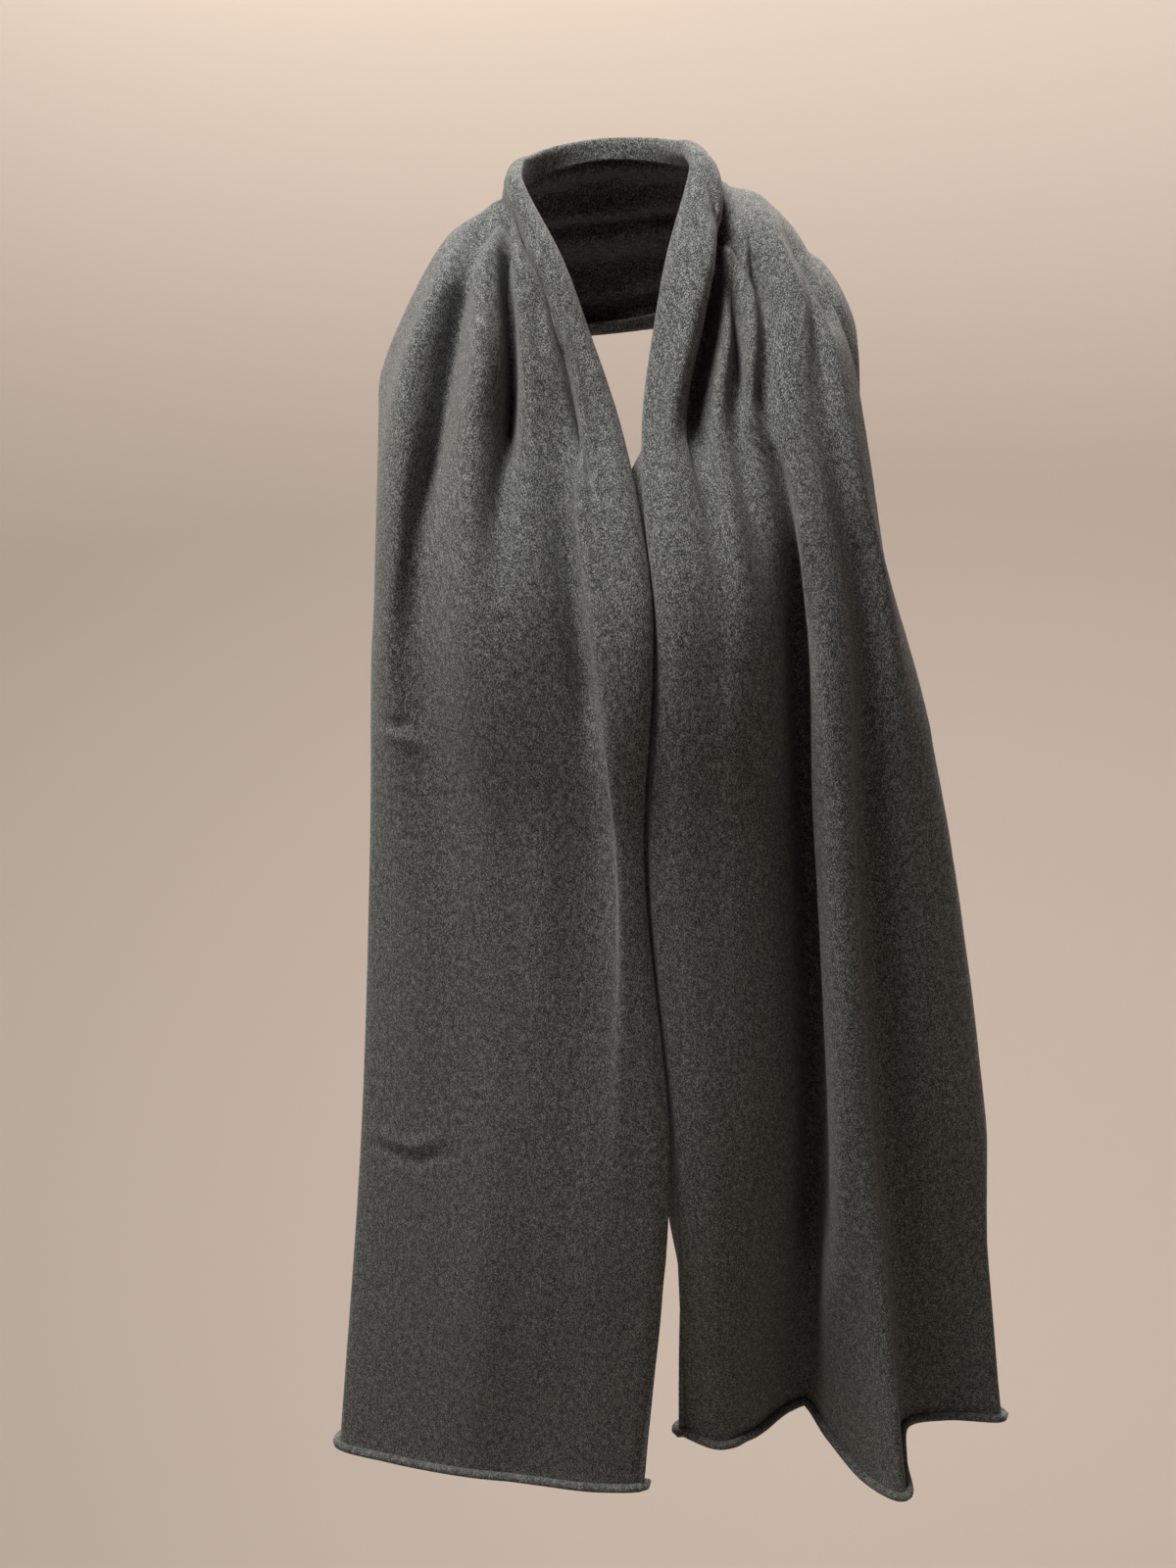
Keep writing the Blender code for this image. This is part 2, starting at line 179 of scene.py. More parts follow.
# %% Stations and fold lines
STATIONS = (
    # name, height, least drop below the shoulder line, distance along the cloth
    ("seam", 40, 0, 0),
    ("shoulder", 40, 14, 26),
    ("yoke", -54, 26, 50),
    ("collar", -95, 40, 76),
    ("chest", -150, 75, 132),
    ("breast", -195, 105, 180),
    ("bust", -255, 130, 242),
    ("waist", -400, 130, 388),
    ("hip", -620, 130, 608),
    ("hem", HEM_Z, 130, 872),
)

LEFT_LINES = (
    # line           seam       shoulder    yoke        collar      chest       breast      bust        waist       hip         hem
    ("inner tuck",   (60, -6),  (59, -6),   (44, -6),   (36, -5),   (20, -6),   (13, -6),   (12, -6),   (26, -6),   (21, -6),   (50, -8)),
    ("inner edge",   (51, 0),   (49, 1),    (31, 2),    (18, 3),    (3, 3),     (-4, 3),    (-6, 3),    (6, 3),     (1, 3),     (29, -1)),
    ("inner crest",  (54, 4),   (52, 6),    (36, 8),    (23, 9),    (10, 10),   (4, 10),    (2, 10),    (12, 9),    (9, 8),     (38, 5)),
    ("neck crease",  (58, 4),   (56, 6),    (42, 6),    (28, 7),    (18, 8),    (18, 10),   (16, 12),   (17, 11),   (22, 9),    (56, 6)),
    ("flap edge",    (61, 3),   (60, 4),    (48, 7),    (33, 10),   (26, 12),   (32, 14),   (30, 14),   (22, 12),   (36, 9),    (72, 6)),
    ("flap under",   (62, 2),   (61, 3),    (49, 5),    (34, 6),    (28, 5),    (32, 3),    (29, -1),   (23, 2),    (44, 7),    (86, 5)),
    ("flap floor",   (64, 1),   (63, 2),    (52, 4),    (39, 4),    (35, 3),    (42, -5),   (40, -11),  (33, -5),   (56, 6),    (98, 4)),
    ("pocket rim",   (65, 0),   (64, 1),    (58, 8),    (56, 11),   (57, 9),    (60, 2),    (58, -4),   (52, 0),    (76, 8),    (116, 3)),
    ("pocket under", (66, -1),  (65, 0),    (61, 3),    (60, 2),    (63, 4),    (73, 5),    (73, 3),    (63, 5),    (85, 8),    (125, 3)),
    ("pocket floor", (68, -1),  (67, -2),   (64, -6),   (64, -16),  (70, -6),   (81, 6),    (84, 8),    (74, 8),    (94, 8),    (134, 4)),
    ("ridge wall",   (70, 0),   (69, 1),    (68, 3),    (69, 4),    (78, 8),    (88, 12),   (94, 12),   (86, 9),    (104, 8),   (143, 5)),
    ("second ridge", (72, 1),   (72, 5),    (75, 13),   (79, 18),   (92, 19),   (98, 17),   (106, 13),  (98, 10),   (114, 8),   (152, 6)),
    ("soft valley",  (78, 1),   (81, -1),   (90, -4),   (99, -6),   (112, -6),  (125, -5),  (135, -3),  (130, 3),   (140, 5),   (174, 5)),
    ("first ridge",  (96, 7),   (100, 10),  (112, 14),  (122, 16),  (134, 15),  (142, 13),  (150, 10),  (157, 5),   (176, 4),   (210, 3)),
    ("outer edge",   (148, -1), (150, -1),  (152, -2),  (154, -3),  (158, -5),  (161, -6),  (165, -7),  (178, -7),  (206, -4),  (249, -1)),
    ("outer turn",   (145, -9), (147, -10), (149, -11), (151, -12), (155, -14), (158, -16), (162, -17), (175, -17), (203, -14), (246, -11)),
    ("outer tuck",   (128, -9), (127, -10), (125, -11), (122, -13), (123, -16), (124, -19), (124, -20), (134, -20), (160, -17), (200, -16)),
)

RIGHT_LINES = (
    # line           seam        shoulder    yoke        collar      chest       breast      bust        waist       hip         hem
    ("inner tuck",   (60, -6),   (60, -6),   (50, -6),   (38, -6),   (20, -11),  (-6, -17),  (-4, -17),  (-18, -16), (-8, -16),  (14, -38)),
    ("inner turn",   (53, -5),   (52, -5),   (37, -5),   (25, -4),   (13, -5),   (8, -8),    (10, -9),   (-3, -9),   (2, -8),    (-3, -36)),
    ("inner edge",   (51, 0),    (50, 1),    (33, 2),    (22, 3),    (11, 3),    (9, 3),     (12, 2),    (-1, 2),    (4, 0),     (-6, -28)),
    ("inner crest",  (54, 4),    (53, 6),    (42, 8),    (31, 9),    (19, 9),    (18, 8),    (21, 7),    (9, 6),     (14, 6),    (7, -19)),
    ("cowl crest",   (58, 6),    (60, 10),   (55, 13),   (44, 17),   (28, 15),   (28, 10),   (31, 8),    (20, 8),    (27, 9),    (22, -13)),
    ("cowl edge",    (62, 4),    (64, 6),    (64, 7),    (54, 12),   (36, 11),   (39, 7),    (42, 7),    (34, 7),    (39, 7),    (33, -15)),
    ("cowl under",   (63, 2),    (65, 3),    (65, 3),    (51, -1),   (35, -1),   (44, 3),    (48, 6),    (41, 6),    (45, 5),    (40, -21)),
    ("wedge",        (65, 0),    (66, 1),    (67, 0),    (58, -11),  (44, -8),   (50, 3),    (55, 7),    (49, 5),    (52, 2),    (47, -26)),
    ("third ridge",  (68, 1),    (69, 2),    (70, 2),    (65, 7),    (56, 10),   (59, 11),   (64, 8),    (59, 2),    (62, -4),   (56, -35)),
    ("inner slit",   (71, 0),    (72, 1),    (73, 0),    (71, -1),   (66, 0),    (69, 2),    (76, 2),    (71, -4),   (76, -13),  (66, -47)),
    ("fourth ridge", (74, 1),    (75, 3),    (77, 5),    (79, 9),    (74, 10),   (81, 4),    (88, -5),   (88, -20),  (92, -31),  (76, -56)),
    ("pleat floor",  (77, 1),    (79, 3),    (82, 2),    (87, 0),    (84, 2),    (95, -8),   (103, -17), (104, -26), (106, -34), (90, -60)),
    ("pleat edge",   (81, 3),    (84, 5),    (89, 9),    (95, 11),   (92, 11),   (99, 12),   (102, 13),  (101, 14),  (102, 12),  (104, -30)),
    ("pleat face",   (85, 6),    (88, 9),    (94, 12),   (101, 15),  (101, 15),  (106, 15),  (112, 16),  (113, 19),  (117, 20),  (126, 4)),
    ("pleat tip",    (90, 8),    (93, 11),   (98, 14),   (105, 16),  (107, 15),  (114, 15),  (123, 15),  (125, 20),  (132, 25),  (149, 33)),
    ("pleat back",   (94, 8),    (99, 11),   (104, 12),  (109, 13),  (114, 11),  (121, 9),   (129, 5),   (129, 3),   (136, 0),   (152, 2)),
    ("outer floor",  (99, 9),    (105, 11),  (109, 11),  (114, 11),  (121, 9),   (128, 6),   (138, 0),   (139, -6),  (147, -12), (159, -27)),
    ("long ridge",   (106, 9),   (113, 11),  (117, 14),  (121, 16),  (129, 16),  (138, 14),  (151, 11),  (162, 6),   (180, 0),   (190, -26)),
    ("over edge",    (113, 6),   (123, 7),   (130, 6),   (137, 5),   (147, 1),   (154, -3),  (162, -5),  (182, -5),  (209, -5),  (231, -6)),
    ("over under",   (115, 3),   (124, 3),   (131, 0),   (138, -3),  (148, -7),  (155, -11), (162, -12), (182, -12), (209, -12), (231, -12)),
    ("low layer",    (128, 3),   (133, 3),   (138, -2),  (143, -6),  (148, -11), (151, -15), (157, -16), (178, -16), (205, -16), (228, -18)),
    ("outer edge",   (147, -1),  (148, -2),  (149, -5),  (149, -9),  (147, -15), (145, -18), (149, -19), (171, -19), (198, -19), (220, -25)),
    ("outer turn",   (145, -10), (146, -11), (146, -14), (144, -17), (141, -20), (139, -22), (142, -23), (163, -23), (190, -23), (211, -33)),
    ("outer tuck",   (127, -11), (128, -12), (128, -15), (127, -18), (124, -21), (123, -24), (126, -25), (146, -25), (172, -26), (192, -42)),
)

# How far below HEM_Z the hem hangs at some of the lines.
HEM_DROP = {
    "left": (("inner edge", 8), ("inner crest", 6), ("second ridge", 0), ("outer edge", 2)),
    "right": (
        ("inner edge", -20),
        ("cowl crest", -12),
        ("pleat floor", -2),
        ("pleat edge", 10),
        ("pleat face", 27),
        ("pleat tip", 26),
        ("outer floor", 12),
        ("over edge", 17),
    ),
}

print("fold lines:", len(LEFT_LINES), "on the left and", len(RIGHT_LINES), "on the right")

# %% [markdown]
# ## From lines to a surface
#
# Two passes of the same smooth curve do the work: one runs along each fold line from station to
# station, and one runs across all the lines at each height. The curve's bends decide where the
# columns of the mesh go, so a tight fold gets close columns and a flat panel gets few.

# %% Smooth curves through the stations
def through(knots, values, at):
    """A smooth curve through the values at the knots, read at each place asked for."""
    knots = np.asarray(knots, float)
    values = np.asarray(values, float)
    steps = np.diff(knots)[:, None]
    chords = np.diff(values, axis=0) / steps
    slopes = np.empty_like(values)
    slopes[1:-1] = (chords[:-1] * steps[1:] + chords[1:] * steps[:-1]) / (steps[1:] + steps[:-1])
    slopes[0] = chords[0]
    slopes[-1] = chords[-1]
    span = np.clip(np.searchsorted(knots, at, side="right") - 1, 0, len(knots) - 2)
    step = steps[span]
    f = ((at - knots[span]) / step[:, 0])[:, None]
    start = values[span] * (1 + 2 * f) * (1 - f) ** 2 + slopes[span] * step * f * (1 - f) ** 2
    end = values[span + 1] * f * f * (3 - 2 * f) + slopes[span + 1] * step * f * f * (f - 1)
    return start + end


def lengths_along(points):
    """Distance along a line of points, from its first one."""
    steps = np.linalg.norm(np.diff(points, axis=0), axis=1)
    return np.concatenate([[0], np.cumsum(steps)])


# Points drawn between each two fold lines.
DENSE = 28


def dense_section(points):
    """A section drawn through its fold lines, with many points between each two of them."""
    gaps = np.sqrt(np.linalg.norm(np.diff(points, axis=0), axis=1))
    knots = np.concatenate([[0], np.cumsum(gaps)])
    at = np.concatenate([np.linspace(a, b, DENSE, endpoint=False) for a, b in zip(knots[:-1], knots[1:])])
    return through(knots, points, np.append(at, knots[-1]))


def station_points(lines, side):
    """Points of every fold line at every station: stations x lines x 3."""
    names = [line[0] for line in lines]
    known = [names.index(name) for name, _ in HEM_DROP[side]]
    drops = np.interp(np.arange(len(names)), known, [drop for _, drop in HEM_DROP[side]])
    rows = []
    for index, (name, height, least_drop, _) in enumerate(STATIONS):
        out = np.array([line[index + 1][0] for line in lines], dtype=float)
        lift = np.array([line[index + 1][1] for line in lines], dtype=float)
        level = np.minimum(height, shoulder_height(out, side)[0] - least_drop)
        rows.append(on_form(out, level - drops * (name == "hem"), lift, side))
    rows = np.array(rows)
    rows[0, :, 1] = SEAM_Y
    return rows


print("each fold line is read at", len(STATIONS), "stations")

# %% Even out the sections, so that both falls and the nape share their columns
# Shared columns in the inner tuck, across the face, and in the outer tuck.
FACE_SHARE = (24, 300, 56)


def matching_places(section, edges):
    """Where the shared columns lie on a dense section: a tuck, the face between its edges, a tuck."""
    along = lengths_along(section)
    index = np.arange(len(section), dtype=float)
    places = []
    for start, end, count in zip(edges[:-1], edges[1:], FACE_SHARE):
        at = np.linspace(along[start], along[end], count, endpoint=False)
        places.append(np.interp(at, along, index))
    return np.append(np.concatenate(places), index[-1])


def at_places(section, places):
    """The points of a dense section at the places asked for."""
    index = np.arange(len(section), dtype=float)
    return np.stack([np.interp(places, index, section[:, k]) for k in range(section.shape[1])], axis=1)


def fall_sections(lines, side):
    """The sections of one fall from the shoulder to the hem, with the shared columns."""
    names = [line[0] for line in lines]
    sections = [dense_section(row) for row in station_points(lines, side)]
    inner_edge, outer_edge = (names.index(edge) * DENSE for edge in ("inner edge", "outer edge"))
    edges = [0, inner_edge, outer_edge, len(sections[0]) - 1]
    places = matching_places(sections[0], edges)
    return np.array([at_places(section, places) for section in sections])


left_sections = fall_sections(LEFT_LINES, "left")
right_sections = fall_sections(RIGHT_LINES, "right")
print("each section has", left_sections.shape[1], "points across")

# %% [markdown]
# ## The stretch behind the neck
#
# Behind the neck the width of the scarf is gathered into a few folds that lie on one another. The
# section there is again a table of fold lines. It is swept round the neck, and on the way it turns
# into the shoulder section of the fall on each side, so the cloth stays one piece.

# %% Sections round the nape
# Distance out and height of the band's top and foot, how round its path is, and the turns round the
# neck, in degrees, at which it is drawn.
NAPE_TOP = (54.0, 5.0)
NAPE_FOOT = (112.0, -122.0)
NAPE_DEPTH = 0.95
NAPE_TURNS = (150, 120, 90, 60, 30)

NAPE_LINES = (
    # line, down, lift
    ("top tuck", 11, -7),
    ("top edge", 0, 0),
    ("first fold", 11, 6),
    ("first valley", 20, 0),
    ("second fold", 36, 10),
    ("second valley", 53, 1),
    ("third fold", 63, 6),
    ("third valley", 71, 0),
    ("fourth fold", 93, 11),
    ("fourth valley", 112, 1),
    ("fifth fold", 126, 5),
    ("foot edge", 140, -2),
    ("foot turn", 139, -6),
    ("foot tuck", 129, -8),
)


def nape_section():
    """The folds behind the neck, as distance from its axis and height, with the shared columns."""
    top = np.array(NAPE_TOP)
    foot = np.array(NAPE_FOOT)
    slope = (foot - top) / np.linalg.norm(foot - top)
    normal = np.array([-slope[1], slope[0]])
    guides = top + np.outer(column(NAPE_LINES, 1), slope) + np.outer(column(NAPE_LINES, 2), normal)
    section = dense_section(guides)
    edges = [0, DENSE, (len(guides) - 3) * DENSE, len(section) - 1]
    return at_places(section, matching_places(section, edges))


def nape_sections(left_seam, right_seam):
    """The sections between the two shoulders, at each turn round the neck."""
    middle = nape_section()
    sides = {
        "left": np.stack([-left_seam[:, 0], left_seam[:, 2]], axis=1),
        "right": np.stack([right_seam[:, 0], right_seam[:, 2]], axis=1),
    }
    rows = []
    for degrees in NAPE_TURNS:
        turn = math.radians(degrees)
        blend = 1 - abs(degrees - 90) / 90
        blend = blend * blend * (3 - 2 * blend)
        section = sides["left" if degrees > 90 else "right"] * (1 - blend) + middle * blend
        x = section[:, 0] * math.cos(turn)
        y = SEAM_Y + section[:, 0] * math.sin(turn) * NAPE_DEPTH
        rows.append(np.stack([x, y, section[:, 1]], axis=1))
    return np.array(rows)


band_sections = nape_sections(left_sections[0], right_sections[0])
all_sections = np.concatenate([left_sections[::-1], band_sections, right_sections])
print("sections from hem to hem:", len(all_sections))

# %% [markdown]
# ## Small creases
#
# The fold tables give the large shapes. The small ones are placed one by one here, each as a short
# line seen from the front or from the back, with its own half width and its own rise: a ridge rises
# and a trough sinks. Their sizes differ, because no two creases in a real cloth are alike. The deep
# narrow ones cut the slits beside the neck, and the wide ones round the chest or let a panel fall back.

# %% Ridges and troughs
CREASES = (
    # where, face, points (x, z) along it, half width, rise
    ("dark dimple", "front", ((-160, -325), (-155, -328), (-146, -325)), 3.4, -2.8),
    ("ridge below the dimple", "front", ((-166, -334), (-152, -334), (-132, -341)), 4.0, 1.9),
    ("crease line", "front", ((-198, -632), (-184, -638), (-165, -636), (-142, -626)), 3.4, -1.5),
    ("ridge over the crease line", "front", ((-197, -624), (-172, -626), (-148, -615)), 3.8, 1.8),
    ("neck edge crease", "front", ((-44, -62), (-48, -86), (-46, -112)), 3.0, -1.6),
    ("neck edge ridge", "front", ((-38, -64), (-42, -90), (-41, -120)), 3.4, 1.3),
    ("pinch slit", "front", ((-65, -8), (-65, -48), (-65, -95), (-66, -122), (-68, -142), (-71, -160)), 3.3, -18),
    ("shadow below the pinch", "front", ((-68, -112), (-72, -158), (-79, -196), (-86, -236)), 7, -7),
    ("left valley", "front", ((-70, -22), (-83, -42), (-91, -58), (-99, -94), (-106, -122), (-115, -156), (-127, -198)), 7, -11),
    ("pinch pit", "front", ((-66, -18), (-72, -27), (-80, -38)), 4.5, -10),
    ("flap line", "front", ((-60, -22), (-52, -46), (-43, -67), (-37, -95), (-32, -120), (-28, -152), (-23, -180)), 2.4, -10),
    ("neck pocket", "front", ((59, -14), (63, -26), (63, -42)), 3.4, -6),
    ("hollow beside the flap", "front", ((-37, -196), (-36, -255), (-31, -340)), 9, -9),
    ("pleat shadow", "front", ((97, -240), (100, -400), (101, -560), (95, -740)), 9, -20),
    ("wedge head", "front", ((67, -36), (65, -53), (60, -78), (55, -98)), 3.4, -12),
    ("wedge floor", "front", ((60, -76), (51, -108), (43, -134), (35, -160)), 7.5, -16),
    ("slit beside the third ridge", "front", ((67, -44), (68, -70), (70, -96), (71, -120), (71, -140)), 3.0, -9),
    ("valley below the third slit", "front", ((71, -110), (69, -150), (66, -196)), 6, -3),
    ("slit beside the fourth ridge", "front", ((64, -30), (69, -43), (75, -55), (82, -70), (87, -82), (90, -96)), 3.2, -10),
    ("bright swell", "front", ((29, -190), (27, -225), (28, -262)), 15, 3.2),
    ("right chest swell", "front", ((26, -240), (58, -238)), 38, 10),
    ("over layer edge", "front", ((106, -50), (111, -61), (119, -78), (126, -93), (130, -106)), 3.0, -6),
    ("over layer ridge", "front", ((106, -62), (113, -80), (119, -95), (124, -110), (130, -132)), 4, 3),
    ("left chest swell", "front", ((-84, -240), (-48, -246)), 38, 12),
    ("right panel falls back", "front", ((34, -940), (74, -930)), 190, -22),
    ("hollow under the swell", "front", ((30, -296), (45, -297), (60, -299)), 10, -2.6),
    ("shoulder slot", "front", ((80, -128), (82, -144), (85, -158)), 3.2, -4.2),
    ("valley from the slot", "front", ((86, -162), (88, -182), (92, -204)), 6, -2.2),
    ("ridge beside the slot", "front", ((72, -124), (73, -146), (76, -170)), 5, 2.0),
    ("left broad swell", "front", ((-118, -168), (-128, -230), (-139, -300)), 9, 2.0),
    ("left long hollow", "front", ((-88, -330), (-96, -440), (-102, -560)), 22, -2.4),
    ("left low swell", "front", ((-122, -600), (-134, -710), (-150, -850)), 26, 2.6),
    ("left flap swell", "front", ((-36, -420), (-48, -560), (-62, -760)), 14, 1.8),
    ("right panel hollow", "front", ((38, -350), (38, -430), (42, -520)), 17, -2.2),
    ("right panel swell", "front", ((58, -560), (56, -660), (52, -800)), 15, 2.4),
    ("pleat hollow", "front", ((124, -420), (132, -560), (140, -700)), 7, -1.8),
    ("outer fall swell", "front", ((172, -300), (184, -420), (200, -560), (213, -730)), 16, 8),
    ("outer fall hollow", "front", ((184, -640), (196, -760), (206, -850)), 9, -2.0),
    ("nape crease low", "back", ((-62, -58), (-20, -70), (34, -66), (78, -84)), 5, -2.2),
    ("nape ridge low", "back", ((-74, -76), (-30, -92), (26, -90), (70, -104)), 7, 2.4),
    ("nape crease high", "back", ((-48, -18), (-8, -26), (40, -20)), 4, -2.0),
    ("nape slant fold", "back", ((12, -34), (48, -52), (88, -92)), 6, 2.2),
    ("nape left slant", "back", ((-22, -40), (-60, -64), (-98, -106)), 5, -1.9),
)


# What is left of a crease at its very end, and how many half widths before it the fading starts.
END_STRENGTH = 0.25
END_FADE = 4


def near_line(places, points, half_width):
    """How strongly a crease acts at each place: 1 on its line, fading to the sides and both ends."""
    strength = np.zeros(places.shape[:-1])
    points = np.array(points, float)
    lengths = np.linalg.norm(np.diff(points, axis=0), axis=1)
    before = 0.0
    for start, end, length in zip(points[:-1], points[1:], lengths):
        share = np.clip(((places - start) @ (end - start)) / length**2, 0, 1)
        away = np.linalg.norm(places - start - share[..., None] * (end - start), axis=-1)
        along = before + share * length
        to_end = np.minimum(along, lengths.sum() - along)
        fade = END_STRENGTH + (1 - END_STRENGTH) * np.clip(to_end / (END_FADE * half_width), 0, 1)
        strength = np.maximum(strength, fade * np.exp(-((away / half_width) ** 2)))
        before += length
    return strength


print("creases placed by hand:", len(CREASES))

# %% [markdown]
# ## The grid of the cloth
#
# The sections are joined from hem to hem, and the cloth gets rows along it and columns across it.
# Rows come closer where creases run across the cloth, and columns where it bends or is slit. The
# columns are then evened from row to row, because a sudden change would show as a wrinkle.

# %% Rows along the cloth, and columns where it bends
ROWS = 290
COLUMNS = 155
FINE_PLACES = 4000
EVEN_SAMPLES = 500
# The bend is averaged over this many samples to each side, and counts no higher than the limit.
BEND_SPREAD = 6
BEND_LIMIT = 0.3
BEND_WEIGHT = 7
# Columns crowd within this half width of a slit, on the front alone.
SLIT_HALF_WIDTH = 5
SLIT_WEIGHT = 2.0
SLIT_Y_LIMIT = 10
COLUMN_EVENING = 60
SLITS = (
    "pinch slit",
    "flap line",
    "wedge head",
    "slit beside the third ridge",
    "slit beside the fourth ridge",
)
CLOSE_ROWS = (
    # distance from the left hem in mm, reach, how many times closer
    (256, 26, 3.0),
    (560, 24, 3.0),
    (1025, 330, 0.7),
    (850, 90, 4.0),
    (1200, 90, 4.0),
)

slits = [crease[2] for crease in CREASES if crease[0] in SLITS]


def rows_of(sections):
    """Rows a few millimetres apart along the whole cloth, closer where creases run across it."""
    spread = np.linalg.norm(np.diff(sections, axis=0), axis=2).mean(axis=1)
    knots = np.concatenate([[0], np.cumsum(spread)])
    fine = np.linspace(0, knots[-1], FINE_PLACES)
    weight = 1 + sum(
        extra * np.exp(-(((fine - place) / reach) ** 4)) for place, reach, extra in CLOSE_ROWS
    )
    share = np.concatenate([[0], np.cumsum((weight[1:] + weight[:-1]) / 2)])
    at = np.interp(np.linspace(0, share[-1], ROWS), share, fine)
    flat = through(knots, sections.reshape(len(sections), -1), at)
    return flat.reshape(len(at), -1, 3), at


def columns_of(row):
    """Columns across one row, closer together where the cloth bends."""
    along = lengths_along(row)
    at = np.linspace(0, along[-1], EVEN_SAMPLES)
    even = np.stack([np.interp(at, along, row[:, k]) for k in range(3)], axis=1)
    step = at[1]
    bend = np.linalg.norm(np.gradient(np.gradient(even, axis=0), axis=0), axis=1) / step**2
    window = 2 * BEND_SPREAD + 1
    bend = np.convolve(np.pad(bend, BEND_SPREAD, mode="edge"), np.ones(window) / window, mode="valid")
    crowd = np.max([near_line(even[:, [0, 2]], line, SLIT_HALF_WIDTH) for line in slits], axis=0)
    crowd = crowd * (even[:, 1] < SLIT_Y_LIMIT)
    weight = 1 + BEND_WEIGHT * np.clip(bend, 0, BEND_LIMIT) + SLIT_WEIGHT * crowd
    share = np.concatenate([[0], np.cumsum((weight[1:] + weight[:-1]) / 2)])
    return np.interp(np.linspace(0, share[-1], COLUMNS), share, at)


def evened(values, passes, axis):
    """Values averaged with their neighbours along one axis, the ends kept."""
    values = np.moveaxis(values.copy(), axis, 0)
    for _ in range(passes):
        values[1:-1] = (values[:-2] + 2 * values[1:-1] + values[2:]) / 4
    return np.moveaxis(values, 0, axis)


dense_rows, row_places = rows_of(all_sections)
widths = np.array([lengths_along(row)[-1] for row in dense_rows])[:, None]
shares = np.array([columns_of(row) for row in dense_rows]) / widths
across = evened(shares, COLUMN_EVENING, 0) * widths
grid = np.array(
    [
        np.stack([np.interp(places, lengths_along(row), row[:, k]) for k in range(3)], axis=1)
        for row, places in zip(dense_rows, across)
    ]
)
print("cloth grid:", grid.shape[0], "rows by", grid.shape[1], "columns")
print("from hem to hem:", round(row_places[-1]), "mm; across the hems:", widths[[0, -1], 0].round(), "mm")

# %% [markdown]
# ## Creases into the cloth
#
# Each crease moves the cloth square to the large form, not square to its folds, so the directions
# are evened out first. Little of the movement goes sideways, where it would dent the outline.

# %% Raise and sink the creases
ACROSS_EVENING = 250
ALONG_EVENING = 50
SIDEWAYS_SHARE = 0.3
# Depths between which the creases of the front and of the back fade out over the shoulders.
FRONT_END_Y = 15
BACK_START_Y = 25
FADE_DEPTH = 20
# A row low on the left fall, where outside means towards the front.
PROBE_ROW = 20


def unit(vectors):
    """The same directions with the length of one."""
    return vectors / np.linalg.norm(vectors, axis=-1, keepdims=True)


def outward_normals(points):
    """Unit normals that point to the outside of the cloth."""
    normal = unit(np.cross(np.gradient(points, axis=0), np.gradient(points, axis=1)))
    facing = normal[PROBE_ROW, COLUMNS // 2, 1]
    return -normal if facing > 0 else normal


def creased(points):
    """The cloth with its small creases, raised or sunk square to the form that it lies on."""
    outward = evened(evened(outward_normals(points), ACROSS_EVENING, 1), ALONG_EVENING, 0)
    outward = unit(outward * (SIDEWAYS_SHARE, 1, 1))
    depth = points[..., 1]
    shown = {
        "front": np.clip((FRONT_END_Y - depth) / FADE_DEPTH, 0, 1),
        "back": np.clip((depth - BACK_START_Y) / FADE_DEPTH, 0, 1),
    }
    rise = np.zeros(points.shape[:2])
    for _, face, line, half_width, height in CREASES:
        rise += height * near_line(points[..., [0, 2]], line, half_width) * shown[face]
    return points + outward * rise[..., None]


grid = creased(grid)
print("cloth with its creases:", grid.shape[0], "x", grid.shape[1], "points")

# %% [markdown]
# ## The rolled hems
#
# Jersey curls towards its right side at a cut end, so both ends of the scarf finish in a soft roll,
# a little thinner than a pencil, lying on the front. Each column of the cloth is carried on round a
# small circle there. The same cloth makes the roll, so no tube is stuck on.

# %% Roll both ends to the front
ROLL_RADIUS = 2.7
ROLL_STEPS = 12
ROLL_TURN = math.radians(345)
# How much tighter the roll is at its inner end, and its average radius as a share of the first.
ROLL_TIGHTENS = 0.18
ROLL_MEAN = 0.9


def rolled_end(points, outward, last):
    """Rows that carry one end of the cloth round the roll."""
    edge = points[last]
    before = points[1 if last == 0 else -2]
    down = unit(edge - before)
    normal = outward[last]
    normal = unit(normal - down * (normal * down).sum(axis=1, keepdims=True))
    rows = []
    for step in range(1, ROLL_STEPS + 1):
        turn = ROLL_TURN * step / ROLL_STEPS
        radius = ROLL_RADIUS * (1 - ROLL_TIGHTENS * step / ROLL_STEPS)
        centre = edge + normal * ROLL_RADIUS
        rows.append(centre - normal * radius * math.cos(turn) + down * radius * math.sin(turn))
    return np.array(rows)


outward = outward_normals(grid)
first_roll = rolled_end(grid, outward, 0)
last_roll = rolled_end(grid, outward, len(grid) - 1)
cloth_grid = np.concatenate([first_roll[::-1], grid, last_roll])
roll_length = ROLL_RADIUS * ROLL_MEAN * ROLL_TURN
roll_places = roll_length * np.arange(1, ROLL_STEPS + 1) / ROLL_STEPS
along_places = np.concatenate([row_places[0] - roll_places[::-1], row_places, row_places[-1] + roll_places])
first_across = np.repeat(across[:1], ROLL_STEPS, axis=0)
last_across = np.repeat(across[-1:], ROLL_STEPS, axis=0)
across_places = np.concatenate([first_across, across, last_across])
print("the rolls add", 2 * ROLL_STEPS, "rows")

# %% [markdown]
# ## One mesh for the whole scarf
#
# The grid turns into one mesh with a UV map in metres of cloth, so a pattern laid on the UV map has
# its real size. The thickness is added last, half of it to each side.

# %% Make the cloth mesh
CLOTH_THICKNESS = 1.5
# This many faces before the last one lies a face of the right fall, which has to look to the front.
PROBE_FACES = 40 * COLUMNS


